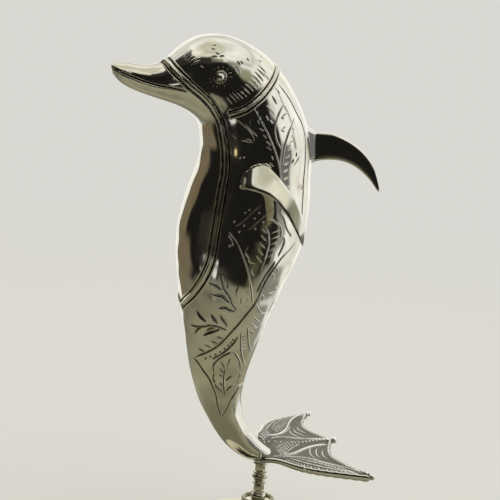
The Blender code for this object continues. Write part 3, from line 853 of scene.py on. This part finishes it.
def feed(node, inputs):
    """Gives each input of the node its value, or links it to the node or the output that feeds it."""
    for name, value in inputs.items():
        if isinstance(value, bpy.types.Node):
            value = value.outputs[0]
        if isinstance(value, bpy.types.NodeSocket):
            node.id_data.links.new(value, node.inputs[name])
        else:
            node.inputs[name].default_value = value
    return node


def add(tree, kind, inputs=None, **settings):
    """Adds a shader node of that kind to the tree, with its settings and what feeds it."""
    node = tree.nodes.new("ShaderNode" + kind)
    for name, value in settings.items():
        setattr(node, name, value)
    return feed(node, inputs or {})


def new_material(name):
    """Makes a material with nodes, and returns it with its tree."""
    material = bpy.data.materials.new(name)
    material.use_nodes = True
    return material, material.node_tree


def brass(name, pale, warm, patina, roughness, grain_mm, grain_depth_mm, hollow=True):
    """Pale brass: a pale and a warmer tone in soft clouds, the marks of its finishing, and dark old wax and
    tarnish left in the hollows. Real marks are finer than a pixel, so they are drawn grain_mm wide."""
    material, tree = new_material(name)
    place = add(tree, "TexCoord").outputs["Object"]
    clouds = add(tree, "TexNoise", {"Vector": place, "Scale": 1 / (38 * MM), "Detail": 3.0, "Roughness": 0.6})
    colour = add(tree, "ValToRGB", {"Fac": clouds})
    for stop, (position, code) in zip(colour.color_ramp.elements, ((0.35, pale), (0.68, warm))):
        stop.position, stop.color = position, linear(code)
    grain = add(tree, "TexNoise",
                {"Vector": place, "Scale": 1 / (grain_mm * MM), "Detail": 4.0, "Roughness": 0.65})
    finish = add(tree, "MapRange", {"Value": grain, "From Min": 0.3, "From Max": 0.7,
                                    "To Min": roughness * 0.7, "To Max": roughness * 1.5})
    if hollow:
        depth = add(tree, "Attribute", attribute_name="hollow").outputs["Fac"]
        share = add(tree, "ValToRGB", {"Fac": depth})
        for stop, position in zip(share.color_ramp.elements, (0.25, 0.85)):
            stop.position = position
        tones = {"Factor": share, 6: colour.outputs[0], 7: linear(patina)}
        colour = add(tree, "Mix", tones, data_type="RGBA").outputs[2]
        finish = add(tree, "MapRange", {"Value": share, "To Min": finish, "To Max": 0.5})
    bump = add(tree, "Bump", {"Height": grain, "Strength": 1.0, "Distance": grain_depth_mm * MM})
    feed(tree.nodes["Principled BSDF"],
         {"Metallic": 1, "Base Color": colour, "Roughness": finish, "Normal": bump})
    return material


def camera():
    """Places the camera at the photograph's angle: 20 degrees round from the flank, 10 above, rolled 4.3."""
    side, rise, roll = math.radians(20), math.radians(10), math.radians(4.3)
    back = Vector((-math.sin(side) * math.cos(rise), -math.cos(side) * math.cos(rise), math.sin(rise)))
    right = Vector((math.cos(side), -math.sin(side), 0))
    up = back.cross(right)
    right, up = right * math.cos(roll) + up * math.sin(roll), up * math.cos(roll) - right * math.sin(roll)
    target, distance = Vector((-19.14, 0, 195.61)) * MM, 0.780
    data = bpy.data.cameras.new("camera")
    data.lens, data.sensor_width = 86.4, 36
    data.clip_start, data.clip_end = 0.01, 50
    thing = bpy.data.objects.new("camera", data)
    turn = Matrix((right, up, back)).transposed().to_4x4()
    thing.matrix_world = Matrix.Translation(target + back * distance) @ turn
    bpy.context.scene.collection.objects.link(thing)
    bpy.context.scene.camera = thing


# The soft room round the figure, each patch laid over those before it: how far round it starts and ends,
# how far up it starts and ends, and how softly it ends sideways and upwards, all in degrees, then its colour
# and strength. Round is 0 facing the near flank (-Y) and 90 facing the back fin (+X).
ROOM = (
    ((120, 240), (8, 90), (20, 14), "D4D5D0", 1.0),  # the pale wall behind
    ((20, 240), (48, 100), (30, 10), "FAFAF7", 1.1),  # high window over the back
    ((-132, -60), (46, 92), (14, 6), "FFFEF6", 1.1),  # high window on the left
    ((-64, 24), (44, 70), (16, 6), "F2F1E6", 1.05),  # bright ceiling in front
    ((-52, 8), (44, 51), (12, 5), "8C8C80", 1.0),  # its cornice
    ((-180, 180), (70, 100), (5, 10), "E4E3D2", 0.95),  # ceiling lamp's shade
    ((-240, -136), (18, 44), (10, 8), "F0F1EC", 1.0),  # upper left window
    ((-236, -153), (-22, 30), (4, 6), "FFFFFA", 1.15),  # left window
    ((-153, -118), (-26, 26), (4, 6), "8A7C66", 0.85),  # its tan curtain
    ((-156, -151), (-22, 20), (2, 6), "5E5F55", 1.0),  # the window's frame
    ((-119, 40), (-70, 43), (6, 7), "1F1E1C", 1.0),  # the dark room in front
    ((22, 46), (20, 46), (10, 8), "A9AC98", 0.9),  # an olive screen high in it
    ((-125, -12), (36, 57), (14, 6), "33322E", 1.0),  # a dark beam over it
    ((-84, -40), (-15, 6), (14, 10), "33312D", 1.0),  # a cupboard in it
    ((-135, -103), (-45, -8), (14, 14), "7A705E", 1.0),  # the curtain's hem, drawn out
    ((18, 46), (-25, -13), (9, 5), "7C7A5E", 0.5),  # an olive chair in it
    ((39, 122), (0, 46), (7, 7), "FFFFFF", 1.1),  # right window
    ((60, 124), (-26, 2), (7, 4), "FFFFFF", 1.05),  # its lower pane
    ((70, 76), (4, 40), (3, 8), "8E908C", 1.0),  # the bar between its panes
    ((40, 58), (-8, 9), (5, 6), "7C7D7F", 0.9),  # a grey chair before it
    ((-54, -47), (-7, 0), (1.5, 1.5), "FFF4B8", 1.0),  # small yellow lamp
    ((-73, -64), (-23, -18), (4, 2), "FFFFFA", 1.0),  # a low lamp
    ((30, 48), (-28, -12), (6, 5), "24231F", 1.0),  # the dark room's right corner
    ((-46, -36), (-25, -19.5), (4, 2), "FFFFFF", 1.1),  # a glint beside the table
)
BARE_WALL = "9A9C96"


def room(tree):
    """Builds the room's light from its patches, by direction only, and returns the colour's output."""
    way = add(tree, "TexCoord").outputs["Generated"]
    axes = add(tree, "SeparateXYZ", {"Vector": way}).outputs
    ahead = add(tree, "Math", {0: axes["Y"], 1: -1}, operation="MULTIPLY")
    turn = add(tree, "Math", {0: axes["X"], 1: ahead}, operation="ARCTAN2")
    rise = add(tree, "Math", {0: axes["Z"]}, operation="ARCSINE")

    def inside(angle, start, end, soft):
        middle, half, edge = (math.radians(size) / 2 for size in (start + end, end - start, soft))
        away = add(tree, "Math", {0: angle, 1: middle}, operation="SUBTRACT")
        away = add(tree, "Math", {0: away, 1: math.pi, 2: -math.pi}, operation="WRAP")
        far = add(tree, "Math", {0: away}, operation="ABSOLUTE")
        return add(tree, "MapRange", {"Value": far, "From Min": half + edge, "From Max": half - edge},
                   interpolation_type="SMOOTHSTEP")

    colour = linear(BARE_WALL)
    for around, upwards, (soft_around, soft_upwards), code, strength in ROOM:
        shares = {0: inside(turn, *around, soft_around), 1: inside(rise, *upwards, soft_upwards)}
        share = add(tree, "Math", shares, operation="MULTIPLY")
        light = (*(value * strength for value in linear(code)[:3]), 1)
        colour = add(tree, "Mix", {"Factor": share, 6: colour, 7: light}, data_type="RGBA").outputs[2]
    folds = add(tree, "TexNoise", {"Vector": way, "Scale": 5.0, "Detail": 4.0, "Roughness": 0.6})
    shade = add(tree, "MapRange", {"Value": folds, "From Min": 0.3, "From Max": 0.7, "To Min": 0.78,
                                   "To Max": 1.12})
    return add(tree, "Mix", {"Factor": 1.0, 6: colour, 7: shade}, data_type="RGBA",
               blend_type="MULTIPLY").outputs[2]


def stage_piece(name, bm, material, *unseen):
    """Adds a piece of the stage, left out of the kinds of ray that are named."""
    mesh = bpy.data.meshes.new(name)
    bm.to_mesh(mesh)
    bm.free()
    mesh.materials.append(material)
    thing = bpy.data.objects.new(name, mesh)
    for ray in unseen:
        setattr(thing, "visible_" + ray, False)
    bpy.context.scene.collection.objects.link(thing)


def floor():
    """Lays the pale matt floor, which turns to the backdrop's even light further out."""
    material, tree = new_material("pale matt floor")
    matt = feed(tree.nodes["Principled BSDF"], {"Roughness": 0.9, "Base Color": linear("E4E2DC"),
                                                "Emission Color": linear(BACKDROP), "Emission Strength": 0.3})
    light = add(tree, "Emission", {"Color": linear(BACKDROP), "Strength": 1.0})
    place = add(tree, "TexCoord").outputs["Object"]
    far = add(tree, "VectorMath", {0: place}, operation="LENGTH").outputs["Value"]
    share = add(tree, "MapRange", {"Value": far, "From Min": 0.2, "From Max": 1.6},
                interpolation_type="SMOOTHSTEP")
    feed(tree.nodes["Material Output"], {"Surface": add(tree, "MixShader", {0: share, 1: matt, 2: light})})
    bm = bmesh.new()
    bmesh.ops.create_circle(bm, cap_ends=True, segments=96, radius=6)
    stage_piece("floor", bm, material, "glossy")


def glowing_table_reflection():
    """Lays a glowing sheet that only the metal's reflections see: a painted reflection of a lit table, darker
    near the figure as painted shade, brightest a hand's length out, with soft edges.
    """
    material, tree = new_material("painted table reflection")
    tree.nodes.clear()
    place = add(tree, "TexCoord").outputs["Object"]
    far = add(tree, "VectorMath", {0: place}, operation="LENGTH").outputs["Value"]
    tone = add(tree, "ValToRGB", {"Fac": far})
    tone.color_ramp.elements.new(0.42)
    # Painted tones of the table's reflection: darker near the figure as painted shade, brightest a hand's
    # length out
    stops = ((0.10, "7C7965"), (0.20, "A3A08A"), (0.42, "7A7768"))
    for stop, (position, code) in zip(tone.color_ramp.elements, stops):
        stop.position, stop.color = position, linear(code)
    right = add(tree, "SeparateXYZ", {"Vector": place}).outputs["X"]
    away = add(tree, "VectorMath", {0: place, 1: (-0.04, 0.03, 0)}, operation="DISTANCE").outputs["Value"]
    past = [add(tree, "MapRange", {"Value": distance, "From Min": start, "From Max": end},
                interpolation_type="SMOOTHSTEP")
            for distance, start, end in ((away, 0.39, 0.46), (right, 0.19, 0.26))]
    edge = add(tree, "Math", dict(enumerate(past)), operation="MAXIMUM")
    light = add(tree, "Emission", {"Color": tone, "Strength": 1.0})
    mix = add(tree, "MixShader", {0: edge, 1: light, 2: add(tree, "BsdfTransparent")})
    add(tree, "OutputMaterial", {"Surface": mix})
    bm = bmesh.new()
    place = Matrix.Translation((-0.3, 0.0, -MM)) @ Matrix.Diagonal((1, 0.8, 1, 1))
    bmesh.ops.create_grid(bm, x_segments=1, y_segments=1, size=0.6, matrix=place)
    stage_piece("glowing_table_reflection", bm, material, "camera", "diffuse", "transmission", "volume_scatter", "shadow")


def backdrop():
    """Hangs the pale backdrop round everything, seen by the camera alone."""
    material, tree = new_material("pale backdrop")
    tree.nodes.clear()
    light = add(tree, "Emission", {"Color": linear(BACKDROP), "Strength": 1.0})
    add(tree, "OutputMaterial", {"Surface": light})
    bm = bmesh.new()
    bmesh.ops.create_uvsphere(bm, u_segments=48, v_segments=24, radius=8)
    stage_piece("backdrop", bm, material, "diffuse", "glossy", "transmission", "volume_scatter", "shadow")


def studio():
    """Sets the floor, the glowing sheet that paints the table's reflection and the backdrop, and the soft
    light of the room round them.
    """
    bpy.context.scene.view_settings.view_transform = "Standard"
    floor()
    glowing_table_reflection()
    backdrop()
    world = bpy.data.worlds.new("studio")
    bpy.context.scene.world = world
    world.use_nodes = True
    tree = world.node_tree
    tree.nodes.clear()
    add(tree, "OutputWorld", {"Surface": add(tree, "Background", {"Color": room(tree), "Strength": 1.0})})


camera()
# Buffed by hand: mirror bright, with the room's lights and darks in hard-edged shapes, and dark grooves
polished = brass("polished pale brass", "E8E6DC", "DDD8C6", "241F18", 0.085, 0.9, 0.004)
# Left nearer to its cast skin: a soft silvery sheen, grey between the ribs
cast = brass("cast pale brass", "F6F5F0", "D8D6CA", "7E7C71", 0.24, 0.9, 0.14)
# Turned and then polished: bright, a little warmer and less sharp than the figure
turned_brass = brass("turned pale brass", "E2DFD0", "D2CAB0", "2A2318", 0.12, 0.5, 0.006, hollow=False)
bm = bmesh.new()
for part in body(polished):
    bm.from_mesh(part.data)
skin_tree = BVHTree.FromBMesh(bm)
bm.free()
fins = zip(("back_fin", "near_side_fin", "far_side_fin"), fin_places(), (0.6, 0.8, 0.8), (3, 8, 11))
for name, place, radius, seed in fins:
    fin(name, place, polished)
    weld(name + "_weld", place, skin_tree, polished, radius * MM, seed)
eyes(polished)
fan_web(cast)
fan_edges(polished)
fan_knobs(cast)
stem(turned_brass)
base(turned_brass)
studio()
